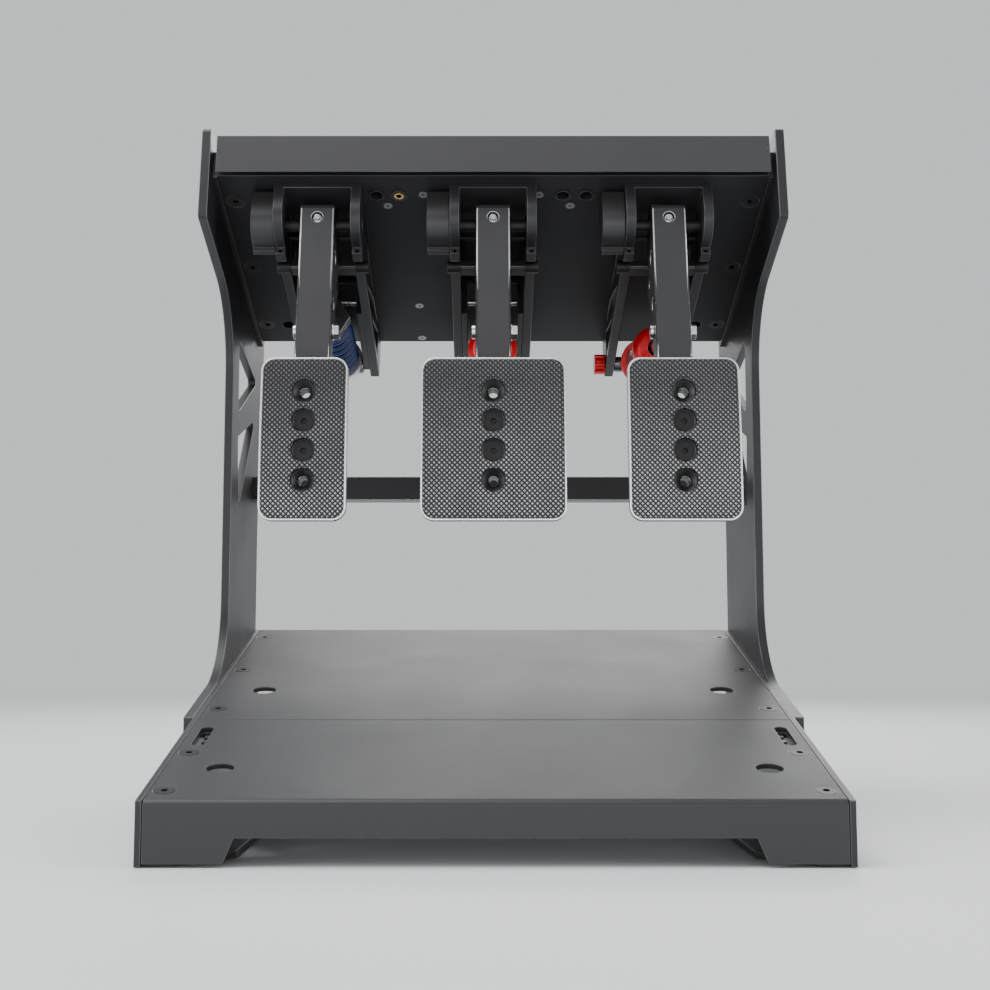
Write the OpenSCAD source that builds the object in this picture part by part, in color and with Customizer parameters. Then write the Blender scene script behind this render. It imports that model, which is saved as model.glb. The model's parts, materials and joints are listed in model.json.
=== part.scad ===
/* [Frame] */
// Distance between the inner faces of the two side plates
inner_w = 364; // [350:1:400]
// Thickness of the side plates
side_t = 6; // [5:0.5:8]
// Height of the front top corner of the side plates
frame_h = 444; // [430:1:470]
// Distance from the front of the base to the upright rear edge of the side plates
post_rear_y = 360; // [358:1:375]
// Distance from the front of the base to the upright front edge of the side plates
post_front_y = 247.7; // [240:0.1:252]
// Distance from the front of the base to the toe of the side plates
toe_y = 136.5; // [120:0.5:160]
// Radius of the two hollow bends of the front edge of the side plates
post_fillet_r = 60; // [50:1:64]
// Height at which the rear edge of the side plates starts to lean back
rear_bend_z = 200; // [190:1:210]
// Lean of the upper rear edge of the side plates
rear_lean = 7.1; // [5:0.1:9]
// Distance from the front of the base to the forward corner of the side plates
knee_y = 144.5; // [140:0.5:150]
// Drop of the forward corner of the side plates below their front top corner
knee_drop = 63; // [58:0.5:68]
// Lean of the upper front edge of the side plates
brow_lean = 8.5; // [6:0.5:12]
// Corner radius of the side plates
corner_r = 3.5; // [2:0.5:5]
// Corner radius of the windows in the side plates
window_r = 3; // [2:0.5:4]

/* [Base] */
// Slope of the heel plates
heel_slope = 14; // [12:0.5:16]
// Height of the front edge of the heel plate
heel_front_h = 33; // [30:0.5:36]
// Thickness of the heel plates
heel_t = 3; // [2:0.5:4]
// Depth of the front heel plate
heel_front_d = 131.7; // [125:0.1:135]
// Depth of both heel plates together
heel_d = 354; // [350:1:357]
// Gap between each heel plate and the rails beside it
heel_gap = 0.3; // [0.1:0.1:0.5]
// Thickness of the base rails
rail_t = 3.5; // [3:0.5:4.5]
// Width of the top flange of the base rails
rail_top_w = 19; // [18:1:22]
// Width of the bottom flange of the base rails
rail_foot_w = 46; // [44:1:50]
// Height of the cut-out in the front flange
cutout_h = 14.3; // [10:0.1:18]
// Distance of the cut-out's upper corners from the side plates
cutout_in = 50.3; // [47:0.1:60]
// Height of the front flange's feet above the floor
flange_lift = 1.5; // [0.5:0.5:3]
// Depth of the folded rear edge of the rear heel plate
heel_lip = 24; // [16:1:30]
// Diameter of the access holes in the heel plates
access_d = 15; // [12:0.5:16]
// Distance of the access holes from the side plates
access_in = 33.8; // [32:0.1:36]
// Distance of the access holes from the front of the base and from the rear heel plate's front
access_from = [47.5, 61.8];
// Diameter of the rig bolt holes in the bottom flanges
rig_bolt_d = 8.5; // [6.5:0.1:9]
// Length of the slot in each side of the front heel plate
slot_len = 34; // [28:1:36]
// Width of the slot
slot_w = 7.2; // [6:0.1:8]
// Distance of the slot's centre from the side plates
slot_in = 13.2; // [12.5:0.1:14]
// Distance of the slot's centre from the front
slot_y = 101.5; // [98:0.5:105]

/* [Screws] */
// Diameter of the countersunk screw heads of the frame
csk_head_d = 11.5; // [10.5:0.1:12]
// Thread diameter of the frame screws
csk_d = 6; // [5:1:6]
// Running clearance around a screw in its plate
screw_gap = 0.2; // [0.1:0.05:0.3]
// Height of the countersunk heads
csk_head_h = 2.8; // [2.5:0.1:3]
// Distance of the frame screws from the side plates
screw_in = 11.5; // [11:0.1:13]
// Distances of the front heel plate's screws from its front edge
heel_screw_front = [14.8, 73.3];
// Distance of the rear heel plate's end screws from its front and rear edges
heel_screw_end = 23; // [18:0.5:30]
// Distances of the mounting plate's end screws from its front and rear edges
deck_screw_end = [27, 24];
// Heights of the lower screws in the side plates
side_screw_z = [30, 56];
// Head diameter of the small countersunk screws in the mounting plate
small_head_d = 6; // [5:0.1:6.4]

/* [Mounting plate] */
// Distance of the mounting plate's front edge from the front of the base
deck_y = 155.8; // [154:0.1:158]
// Drop of the mounting plate's front edge below the side plates' front top corner
deck_drop = 32.4; // [30:0.1:35]
// Slope of the mounting plate, falling to the rear
deck_slope = 19.6; // [18:0.2:21]
// Length of the mounting plate
deck_len = 201; // [198:1:204]
// Thickness of the mounting plate
deck_t = 4; // [3:0.5:4.5]
// Overhang of the side brackets past the mounting plate's rear edge
bracket_over = 8; // [4:1:10]
// Thickness of the side brackets
bracket_t = 3.5; // [3:0.1:3.5]
// Height of the folded front band of the top cover
band_h = 26; // [24:0.5:26.5]
// Thickness of the top cover's sheet
cover_t = 1.5; // [1:0.1:2]
// Diameter of the haptic sockets
socket_d = 11; // [10:0.5:12]
// Distances of the haptic sockets from the middle
socket_x = [-76.9, 46.2, 61.4];
// Distance of the sockets along the plate from its front edge
socket_s = 20; // [18:0.5:22]
// Distance of the audio jack from the middle
audio_x = -61.9; // [-63:0.1:-61]
// Outer diameter of the audio jack's ring
audio_d = 6.4; // [6:0.1:7]
// Diameter of the two plain holes near the rear of the mounting plate
pass_d = 9; // [6:0.5:10]
// Distance of the plain holes from the side plates
pass_in = 27.4; // [25:0.1:30]
// Distance of the plain holes from the mounting plate's rear edge
pass_end = 23.6; // [20:0.1:28]

/* [Crossbar] */
// Height of the rear crossbar
bar_h = 18; // [14:0.5:22]
// Depth of the rear crossbar
bar_d = 20; // [16:0.5:21]
// Height of the rear crossbar above the bend of the side plates' rear edge
bar_rise = 19.8; // [15:0.1:25]
// Gap between the crossbar and the upright rear edge of the side plates at the bend
bar_inset = -0.5; // [-1:0.5:2]

/* [Pedal modules] */
// Distance between the middles of neighbouring pedals
pedal_pitch = 114.2; // [112:0.1:118]
// Outer width of the pivot boxes
box_w = 56.4; // [55.6:0.2:57]
// Thickness of the cheeks
cheek_t = 6.4; // [6:0.1:6.8]
// Distance of the pivot box from the mounting plate's front edge
box_s = 8.2; // [7:0.1:10]
// Distance of the pivot shaft along the plate from its front edge
pivot_s = 28.2; // [28:0.1:28.6]
// Distance of the pivot shaft below the mounting plate
pivot_t = 18.7; // [18.4:0.1:19]
// Diameter of the pivot shaft
shaft_d = 8; // [7:0.5:8.5]
// Radial running clearance of the shafts and pins
run_gap = 0.05; // [0.03:0.01:0.08]
// Depth of the cheeks and side rails below the mounting plate
rail_depth = 34; // [33.5:0.1:35]
// Start of the side rails along the plate
rail_s0 = 58; // [57.5:0.5:60]
// Distance of the side rails' lower rear corner from the mounting plate's rear edge
rail_end = 4; // [3:0.5:6]
// Width of the sensor covers
sensor_w = 15; // [13:0.5:16]

/* [Arms and faces] */
// Width of the pedal arms
arm_w = 22.5; // [21:0.1:23]
// Lean of the upper front of the arms
arm_lean = 9; // [8.5:0.1:9.5]
// Lean of the lower front of the arms
arm_lean_low = 12.5; // [12:0.1:13]
// Thickness of the arm's front wall
arm_wall = 5; // [4:0.1:5.5]
// Width of the clutch, brake and throttle faces
face_w = [54, 90, 69.6];
// Sideways offsets of the faces from their arms
face_x = [-3.3, 0, 4];
// Height of the pedal faces
face_h = 103; // [100:1:106]
// Thickness of the pedal faces at their upper and lower edges
face_t = 5; // [4:0.1:5]
// Bulge of the pedal faces at mid height
face_crown = 2; // [1:0.1:2.5]
// Corner radius of the pedal faces
face_r = 8.6; // [7:0.1:10]
// Pitch of the holes in the pedal faces
face_pitch = 18.7; // [18:0.1:19]
// Diameter of the countersinks in the pedal faces
face_csk_d = 14.6; // [13:0.1:15]
// Thread diameter of the face screws
face_screw_d = 6; // [5:1:6]
// Angle that the clutch, brake and throttle arms swing through
arm_travel = [16, 6, 15];

/* [Damper units] */
// Distance of the rear pins from the side rails' lower rear corner
rear_pin_in = 8.5; // [8:0.1:10]
// Height of the rear pins above the side rails' lower edge
rear_pin_up = 6; // [5.5:0.1:7]
// Diameter of the rear pins
rear_pin_d = 8; // [7:0.5:8]
// Diameter of the link bolts
link_d = 6; // [5:1:6]
// Radial clearance of the rod eyes around the link bolts
link_gap = 0.7; // [0.6:0.05:0.8]
// Diameter of the rods
rod_d = 10; // [9:0.5:10]
// Outer diameter of the rod eyes
eye_d = 14; // [12:0.5:14.5]
// Wire diameter of the clutch spring
wire_d = 4; // [3.4:0.1:4.2]
// Outer diameter of the clutch spring
coil_d = 29.6; // [28:0.1:30]
// Turns of the clutch spring
coil_turns = 7; // [6:1:9]
// Length of the clutch spring
coil_len = 70; // [64:1:80]
// Diameter of the brake's red collar
brake_collar_d = 34.4; // [30:0.2:35]
// Diameter of the throttle's red front collar
throttle_collar_d = 32.4; // [31:0.2:34]
// Diameter of the throttle's red rear ring
throttle_ring_d = 35; // [33:0.2:36]

/* [Hidden] */

$fn = 48;
hair = 0.01;
clutch = 0;
brake = 1;
throttle = 2;
charcoal = "#303033";
coal = "#1e1e20";
steel = "#b9bcc0";
red = "#c81820";
navy = "#1d3a66";

half_in = inner_w / 2;
knee_z = frame_h - knee_drop;
deck_z = frame_h - deck_drop;
access_x = half_in - access_in;
access_y = [access_from[0], heel_front_d + access_from[1]];
slot_x = half_in - slot_in;
screw_x = half_in - screw_in;
cutout_half = half_in - cutout_in;
heel_screw_y = concat(heel_screw_front, [heel_front_d + heel_screw_end, (heel_front_d + heel_d) / 2,
    heel_d - heel_screw_end]);
deck_screw_s = let (a = deck_screw_end[0], b = deck_len - deck_screw_end[1]) [a, (a + b) / 2, b];
bar_z = rear_bend_z + bar_rise;
half_out = half_in + side_t;

// Side plate outline, worked out from the sloped, upright and leaning edges
toe_z = heel_z(toe_y);
fillet_y = post_front_y - post_fillet_r;
low_fillet_z = heel_z(fillet_y) + post_fillet_r / cos(heel_slope);
high_fillet_z = knee_z - (fillet_y - knee_y) * tan(deck_slope) - post_fillet_r / cos(deck_slope);
brow_y = knee_y + (frame_h - knee_z) * tan(brow_lean);
crown_z = (frame_h - (post_rear_y - rear_bend_z * tan(rear_lean) - brow_y) * tan(deck_slope))
    / (1 + tan(rear_lean) * tan(deck_slope));
crown_y = post_rear_y + (crown_z - rear_bend_z) * tan(rear_lean);
crown_arc = corner([brow_y, frame_h], [crown_y, crown_z], [post_rear_y, rear_bend_z], corner_r, 6);
overall_d = max([for (p = crown_arc) p[0]]);

// Windows: margins from the upright edges and heights of their corners
window_front_y = post_front_y + 22;
window_rear_y = post_rear_y - 21;
window_a_z = frame_h * [1, 1, 1] - [113, 134, 169];
window_b_z = [frame_h - 166, frame_h - 191, rear_bend_z + 3];

// Pivot axis in the frame
pivot_y = deck_y + pivot_s * cos(deck_slope) - pivot_t * sin(deck_slope);
pivot_z = deck_z - pivot_s * sin(deck_slope) - pivot_t * cos(deck_slope);

// Rear pins along and below the mounting plate, and in the frame
rail_s1 = deck_len - rail_end;
rear_pin_s = rail_s1 - rear_pin_in;
rear_pin_t = rail_depth - rear_pin_up;
rear_pin_y = deck_y + rear_pin_s * cos(deck_slope) - rear_pin_t * sin(deck_slope);
rear_pin_z = deck_z - rear_pin_s * sin(deck_slope) - rear_pin_t * cos(deck_slope);

// Link bolt places from the pivot axis, for an upper and a lower hole in each arm
upper_link = [4.9, -39];
lower_link = [-16.1, -74.5];
link_at = [upper_link, lower_link, lower_link];
hub_r = 13;
lug_r = 9;
arm_front_off = 12.2;
arm_top_z = 11;
arm_bend_z = -57.9;
arm_low_z = -92.8;
face_centre = [-41.2, -147];
face_lean = 3.8;
arm_foot = -36;
arm_foot_t = 12;
arm_slot_w = 12.6;
arm_wall_low = 3;
eye_w = 12;

// Cheek and pivot box
box_in = box_w - 2 * cheek_t;
box_top_t = 3;
nose_r = 16.5;
lug_s = 31;
lug_drop = 4.6;
cheek_end_s = 51;
tie_s = 48;
tie_t = 14;
tie_d = 3;
bolt_s = 58.5;
bolt_t = 30;
bolt_head_d = 8.6;
bolt_head_h = 2.4;
stud_s = 44;
stud_d = 5;
bolt_d = 3;
bolt_bite = 6;

// Units: angle and length between rear pin and link bolt
function unit_vec(m) = [pivot_y + link_at[m][0] - rear_pin_y, pivot_z + link_at[m][1] - rear_pin_z];
function unit_len(m) = norm(unit_vec(m));
function unit_tilt(m) = atan2(-unit_vec(m)[1], -unit_vec(m)[0]);

function swung(m) = turn(link_at[m], arm_travel[m]) + [pivot_y - rear_pin_y, pivot_z - rear_pin_z];
function stroke(m) = unit_len(m) - norm(swung(m));

coil_r = (coil_d - wire_d) / 2;
coil_rear = 13;
seat_a = coil_rear + coil_len;
nut_t = 9;
tube_r = 8.6;
tube_end = 56;
tube_bottom = 22;
cap_r = 16.9;
cap_t = 5.6;
boss_r = 8;
slip = 0.3;

// Pedal places and names
pedal_x = [-pedal_pitch, 0, pedal_pitch];

function heel_z(y) = heel_front_h + y * tan(heel_slope);
function arc_points(c, r, a0, a1, n) = [for (i = [0:n]) c + r * [cos(a0 + (a1 - a0) * i / n), sin(a0 + (a1 - a0) * i / n)]];
function unit(v) = v / norm(v);
function corner(a, p, b, r, n) = let (u = unit(a - p), v = unit(b - p), half = acos(u * v) / 2,
    c = p + unit(u + v) * r / sin(half), q0 = p + u * r / tan(half) - c, q1 = p + v * r / tan(half) - c,
    a0 = atan2(q0[1], q0[0]), d0 = atan2(q1[1], q1[0]) - a0, d = d0 > 180 ? d0 - 360 : d0 < -180 ? d0 + 360 : d0)
    arc_points(c, r, a0, a0 + d, n);
function turn(p, a) = [p[0] * cos(a) - p[1] * sin(a), p[0] * sin(a) + p[1] * cos(a)];

// Moves from the front of the base to the middle of the footprint
module place() {
    translate([0, -overall_d / 2, 0])
        children();
}

// Frame of the mounting plate: y runs along the plate to the rear, z away from its underside
module on_deck() {
    place()
        translate([0, deck_y, deck_z])
            rotate([-deck_slope, 0, 0])
                children();
}

// Frame of a pedal's pivot axis
module on_pivot(m) {
    place()
        translate([pedal_x[m], pivot_y, pivot_z])
            children();
}

// Frame of a pedal face: middle of the front chord plane, y into the face, z up along it
module on_face(m) {
    on_pivot(m)
        translate([face_x[m], face_centre[0], face_centre[1]])
            rotate([-face_lean, 0, 0])
                children();
}

// Frame of a damper unit: origin at the rear pin, z points to the link bolt
module on_unit(m) {
    place()
        translate([pedal_x[m], rear_pin_y, rear_pin_z])
            rotate([90 + unit_tilt(m), 0, 0])
                children();
}

// Extrudes a (y, z) outline along x, centred
module slab(w) {
    rotate([90, 0, 90])
        translate([0, 0, -w / 2])
            linear_extrude(w)
                children();
}

// Cylinder along x, centred
module cross(d, w) {
    rotate([0, 90, 0])
        cylinder(d = d, h = w, center = true);
}

// Countersunk screw pointing down from z = 0, with a hex socket
module csk_screw(d, head_d, head_h, len, hex) {
    difference() {
        union() {
            translate([0, 0, -head_h])
                cylinder(d1 = d, d2 = head_d, h = head_h);
            translate([0, 0, -len])
                cylinder(d = d, h = len - head_h + hair);
        }
        translate([0, 0, -head_h * 0.8])
            cylinder(d = hex, h = head_h, $fn = 6);
    }
}

// Hole for a countersunk screw through a plate whose upper face is at z = 0
module csk_hole(d, head_d, head_h, len) {
    translate([0, 0, -head_h])
        cylinder(d1 = d + 2 * screw_gap, d2 = head_d + 2 * screw_gap, h = head_h + hair);
    translate([0, 0, -len])
        cylinder(d = d + 2 * screw_gap, h = len);
}

module triangle_window(p) {
    for (i = [0:2])
        translate(p[i])
            circle(r = window_r, $fn = 24);
    polygon(rounded_triangle(p, window_r));
}

// Corners of a triangle grown outward by r, as the six tangent points
function rounded_triangle(p, r) = [for (i = [0:2]) for (k = [0, 1])
    let (a = p[(i + k) % 3], b = p[(i + k + 2) % 3], c = p[(i + k + 1) % 3],
        from = k == 0 ? p[(i + 2) % 3] : p[i], to = k == 0 ? p[i] : p[(i + 1) % 3],
        dir = (to - from) / norm(to - from), out = [dir[1], -dir[0]],
        mid = (p[0] + p[1] + p[2]) / 3, sgn = (p[i] - mid) * out > 0 ? 1 : -1)
    p[i] + r * sgn * out];

module side_plate_outline() {
    polygon(concat(
        [[toe_y, 0], [toe_y, toe_z]],
        arc_points([fillet_y, low_fillet_z], post_fillet_r, heel_slope - 90, 0, 24),
        arc_points([fillet_y, high_fillet_z], post_fillet_r, 0, 90 - deck_slope, 24),
        corner([fillet_y, high_fillet_z + post_fillet_r / cos(deck_slope)], [knee_y, knee_z],
            [brow_y, frame_h], corner_r, 6),
        corner([knee_y, knee_z], [brow_y, frame_h], [crown_y, crown_z], corner_r, 6),
        corner([brow_y, frame_h], [crown_y, crown_z], [post_rear_y, rear_bend_z], corner_r, 6),
        [[post_rear_y, rear_bend_z]],
        corner([post_rear_y, rear_bend_z], [post_rear_y, 0], [toe_y, 0], corner_r, 6)));
}

window_a = [[window_front_y + window_r, window_a_z[0] - 2 * window_r],
    [window_rear_y - window_r, window_a_z[1]],
    [window_front_y + window_r, window_a_z[2] + 2 * window_r]];
window_b = [[window_rear_y - 9, window_b_z[0] - window_r],
    [window_front_y + window_r, window_b_z[1] + window_r],
    [window_front_y + window_r + 4, window_b_z[2] + 3 * window_r]];

// Places of the side plates' screws in (y, z): base, crossbar, and brackets above the mounting plate
base_screw_at = [for (y = [toe_y + 20, post_rear_y - 22]) for (z = side_screw_z) [y, z]];
bar_screw_at = [[post_rear_y - 12, bar_z + bar_h / 2]];
bracket_screw_s = [for (s = deck_screw_s) s + 8];
bracket_screw_w = 12;
bracket_screw_at = [for (s = bracket_screw_s)
    [deck_y + s * cos(deck_slope) + bracket_screw_w * sin(deck_slope),
        deck_z - s * sin(deck_slope) + bracket_screw_w * cos(deck_slope)]];
side_screw_at = concat(base_screw_at, bar_screw_at, bracket_screw_at);
bar_screw_len = 20;
side_screw_len = side_t + rail_t - 0.3;

module side_plate(side) {
    color(charcoal)
        place()
            difference() {
                translate([side * (half_in + side_t / 2), 0, 0])
                    slab(side_t)
                        difference() {
                            side_plate_outline();
                            triangle_window(window_a);
                            triangle_window(window_b);
                        }
                for (p = side_screw_at)
                    translate([side * half_out, p[0], p[1]])
                        rotate([0, side * 90, 0])
                            csk_hole(csk_d, csk_head_d, csk_head_h, side_t + 1);
            }
}

// Wedge rail: upright web, sloped top flange under the heel plates and flat bottom flange
module base_rail(side) {
    web_x = half_in - rail_t;
    foot_in = half_in - rail_foot_w;
    flange_under = heel_t / cos(heel_slope);
    color(charcoal)
        place()
            difference() {
                union() {
                    translate([side * (half_in - rail_t / 2), 0, 0])
                        slab(rail_t)
                            polygon([[0, 0], [heel_d, 0], [heel_d, heel_z(heel_d)], [0, heel_z(0)]]);
                    translate([side * (half_in - rail_top_w / 2 - rail_t / 2), 0, 0])
                        slab(rail_top_w - rail_t)
                            polygon([[heel_t + 2, heel_z(heel_t + 2) - flange_under - rail_t],
                                [heel_d - heel_t - 0.5, heel_z(heel_d - heel_t - 0.5) - flange_under - rail_t],
                                [heel_d - heel_t - 0.5, heel_z(heel_d - heel_t - 0.5) - flange_under],
                                [heel_t + 2, heel_z(heel_t + 2) - flange_under]]);
                    linear_extrude(rail_t)
                        polygon([[side * (web_x + 1), heel_t + 1], [side * (half_in - 19), heel_t + 1],
                            [side * foot_in, heel_t + 28], [side * foot_in, heel_d],
                            [side * (web_x + 1), heel_d]]);
                }
                on_heel_screws(side)
                    translate([0, 0, heel_t])
                        csk_hole(csk_d - 2 * screw_gap, csk_d - 2 * screw_gap, 1, 16);
                for (y = access_y)
                    translate([side * access_x, y, -1])
                        cylinder(d = rig_bolt_d, h = rail_t + 2);
                ladder_cut(side);
                for (p = base_screw_at)
                    translate([side * half_in, p[0], p[1]])
                        cross(csk_d, 4 * rail_t);
            }
}

// Comb opening in the top flange, seen through the heel plate's slot
module ladder_cut(side) {
    pitch = slot_len / 4.1;
    for (k = [0:3])
        heel_frame(side * (slot_x - 0.9), slot_y + (k - 1.5) * pitch)
            translate([0, 0, -heel_t - rail_t])
                cube([6.4, pitch * 0.52, 3 * rail_t], center = true);
    heel_frame(side * (slot_x + 2), slot_y)
        translate([0, 0, -heel_t - rail_t])
            cube([2.6, slot_len - 4, 3 * rail_t], center = true);
}

// Frame on the heel plates' upper face at (x, y), z square to the face
module heel_frame(x, y) {
    translate([x, y, heel_z(y)])
        rotate([heel_slope, 0, 0])
            children();
}

module on_heel_screws(side) {
    for (y = heel_screw_y)
        heel_frame(side * screw_x, y)
            children();
}

heel_half = half_in - rail_t - heel_gap;

module heel_holes() {
    for (side = [-1, 1]) {
        on_heel_screws(side)
            csk_hole(csk_d, csk_head_d, csk_head_h, heel_t + 2);
        for (y = access_y)
            heel_frame(side * access_x, y)
                cylinder(d = access_d, h = 4 * heel_t, center = true);
        heel_frame(side * slot_x, slot_y) {
            for (e = [-1, 1])
                translate([0, e * (slot_len - slot_w) / 2, 0])
                    cylinder(d = slot_w, h = 4 * heel_t, center = true, $fn = 32);
            cube([slot_w, slot_len - slot_w, 4 * heel_t], center = true);
        }
    }
}

module heel_plate_front() {
    bend_r = 4;
    bend_c = [bend_r, heel_z(bend_r) - bend_r / cos(heel_slope)];
    inner_r = bend_r - heel_t;
    color(charcoal)
        place()
            difference() {
                slab(2 * heel_half)
                    polygon(concat(
                        [[0, flange_lift]],
                        arc_points(bend_c, bend_r, 180, 90 + heel_slope, 8),
                        [[heel_front_d - 0.15, heel_z(heel_front_d - 0.15)],
                            [heel_front_d - 0.15, heel_z(heel_front_d - 0.15) - heel_t / cos(heel_slope)]],
                        arc_points(bend_c, inner_r, 90 + heel_slope, 180, 4),
                        [[heel_t, flange_lift]]));
                translate([0, heel_t + 5, 0])
                    rotate([90, 0, 0])
                        linear_extrude(heel_t + 10)
                            polygon([[-cutout_half - 6, flange_lift - 1], [-cutout_half, cutout_h],
                                [cutout_half, cutout_h], [cutout_half + 6, flange_lift - 1]]);
                heel_holes();
            }
}

module heel_plate_rear() {
    y0 = heel_front_d + 0.15;
    under = heel_t / cos(heel_slope);
    color(charcoal)
        place()
            difference() {
                slab(2 * heel_half)
                    polygon([[y0, heel_z(y0)], [heel_d, heel_z(heel_d)],
                        [heel_d, heel_z(heel_d) - heel_lip],
                        [heel_d - heel_t, heel_z(heel_d) - heel_lip],
                        [heel_d - heel_t, heel_z(heel_d - heel_t) - under],
                        [y0, heel_z(y0) - under]]);
                heel_holes();
            }
}

small_screw_at = [[-69.8, 31.4], [51.5, 31.4], [-45.9, 19.9], [30.5, 19.9], [-54, deck_len - 49.7],
    [-53.8, deck_len - 5.1]];
deck_half = half_in - rail_t - heel_gap;

module mounting_plate() {
    color(charcoal)
        on_deck()
            difference() {
                translate([-deck_half, 0, 0])
                    cube([2 * deck_half, deck_len, deck_t]);
                for (side = [-1, 1]) {
                    for (s = deck_screw_s)
                        translate([side * screw_x, s, 0])
                            rotate([180, 0, 0])
                                csk_hole(csk_d, csk_head_d, csk_head_h, deck_t + 1);
                    translate([side * (half_in - pass_in), deck_len - pass_end, -1])
                        cylinder(d = pass_d, h = deck_t + 2);
                }
                for (p = small_screw_at)
                    translate([p[0], p[1], 0])
                        rotate([180, 0, 0])
                            csk_hole(3, small_head_d, 1.6, deck_t + 1);
                for (x = concat(socket_x, [audio_x]))
                    translate([x, socket_s, -1])
                        cylinder(d = socket_d, h = deck_t + 2);
                for (m = [clutch:throttle])
                    for (e = [-1, 1])
                        translate([pedal_x[m] + e * (box_in / 2 - 6), stud_s, -1])
                            cylinder(d = stud_d + screw_gap, h = deck_t + 2);
            }
}

bracket_h = 21;

module mount_brackets() {
    color(charcoal)
        for (side = [-1, 1])
            on_deck()
                difference() {
                    union() {
                        translate([side * (half_in - bracket_t / 2), deck_len / 2 + bracket_over / 2 + 1, bracket_h / 2])
                            cube([bracket_t, deck_len + bracket_over - 2, bracket_h], center = true);
                        translate([side * (half_in - 12), deck_len / 2, deck_t + bracket_t / 2])
                            cube([24, deck_len - 8, bracket_t], center = true);
                    }
                    for (s = deck_screw_s)
                        translate([side * screw_x, s, deck_t - 1])
                            cylinder(d = csk_d, h = bracket_t + 2);
                    for (s = bracket_screw_s)
                        translate([side * half_in, s, bracket_screw_w])
                            cross(csk_d, 4 * bracket_t);
                }
}

// Cover outline in the (y, z) plane of the base frame, open at the bottom
band_y = knee_y + (deck_z - knee_z) * tan(brow_lean);
band_top = [band_y + band_h * sin(brow_lean), deck_z + band_h * cos(brow_lean)];
cover_rear_s = deck_len;
cover_rear = [deck_y + cover_rear_s * cos(deck_slope), deck_z - cover_rear_s * sin(deck_slope)];
cover_rise = (band_top[1] - deck_z) * cos(deck_slope) + (band_top[0] - deck_y) * sin(deck_slope);
cover_back_top = cover_rear + cover_rise * [sin(deck_slope), cos(deck_slope)];
cover_back_low = cover_rear + (deck_t + 0.3) * [sin(deck_slope), cos(deck_slope)];

cover_flange = 12;
usb_x = -78;
usb_w = 12;
usb_h = 11;

module top_cover() {
    t = cover_t;
    along = [cos(deck_slope), -sin(deck_slope)];
    square = [sin(deck_slope), cos(deck_slope)];
    color(charcoal)
        place()
            difference() {
                union() {
                    slab(2 * deck_half)
                        polygon([[band_y, deck_z + 0.4], band_top, cover_back_top, cover_back_low,
                            cover_back_low - t * along, cover_back_top - t * along - t * square,
                            band_top + t * [0.7, -1.25], [band_y + t, deck_z + 0.4]]);
                    for (side = [-1, 1])
                        translate([side * (deck_half - t / 2), 0, 0])
                            slab(t)
                                polygon([band_top + t * [0.7, -1.25], cover_back_top - t * along - t * square,
                                    cover_back_top - t * along - cover_flange * square,
                                    band_top - (cover_flange - 2) * square + t * along]);
                }
                translate([usb_x, cover_rear[0], cover_rear[1]])
                    rotate([-deck_slope, 0, 0])
                        translate([0, 0, deck_t + usb_h / 2])
                            cube([usb_w + 0.6, 12, usb_h + 0.6], center = true);
            }
}

module rear_crossbar() {
    y1 = post_rear_y - bar_inset;
    color(charcoal)
        place()
            difference() {
                translate([0, y1 - bar_d / 2, bar_z + bar_h / 2])
                    cube([inner_w, bar_d, bar_h], center = true);
                for (side = [-1, 1])
                    for (p = bar_screw_at)
                        translate([side * half_in, p[0], p[1]])
                            cross(csk_d, 2 * (bar_screw_len - side_t) + 2);
            }
}

module frame_screws() {
    color(coal) {
        place()
            for (side = [-1, 1]) {
                on_heel_screws(side)
                    csk_screw(csk_d, csk_head_d, csk_head_h, heel_t + rail_t + 2, 4);
                for (p = side_screw_at)
                    translate([side * half_out, p[0], p[1]])
                        rotate([0, side * 90, 0])
                            csk_screw(csk_d, csk_head_d, csk_head_h,
                                p == bar_screw_at[0] ? bar_screw_len : side_screw_len, 4);
            }
        on_deck()
            for (side = [-1, 1])
                for (s = deck_screw_s)
                    translate([side * screw_x, s, 0])
                        rotate([180, 0, 0])
                            csk_screw(csk_d, csk_head_d, csk_head_h, deck_t + bracket_t + 1, 4);
    }
}

module cover_screws() {
    color(steel)
        on_deck()
            for (p = small_screw_at)
                translate([p[0], p[1], 0])
                    rotate([180, 0, 0])
                        csk_screw(3, small_head_d, 1.6, deck_t + 2, 2);
}

// Round socket with a recess, seated in the mounting plate from above
module socket(d, lip, bore) {
    difference() {
        union() {
            translate([0, 0, -lip])
                cylinder(d = d - 0.4, h = deck_t + lip + 8);
            translate([0, 0, deck_t])
                cylinder(d = d + 3, h = 3);
        }
        translate([0, 0, -lip - 1])
            cylinder(d = bore, h = deck_t + lip + 6);
    }
}

module haptic_sockets() {
    color(coal)
        on_deck() {
            for (x = socket_x)
                translate([x, socket_s, 0])
                    socket(socket_d, 0.6, socket_d - 3);
            translate([audio_x, socket_s, 0])
                socket(socket_d, 0.6, audio_d);
        }
}

module audio_jack() {
    color("#c8a040")
        on_deck()
            translate([audio_x, socket_s, 0])
                difference() {
                    translate([0, 0, -0.9])
                        cylinder(d = audio_d, h = deck_t + 5.9);
                    translate([0, 0, -2])
                        cylinder(d = 3.5, h = deck_t + 5);
                }
}

board_w = 180;
board_s = 12;
board_d = 62;

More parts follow.
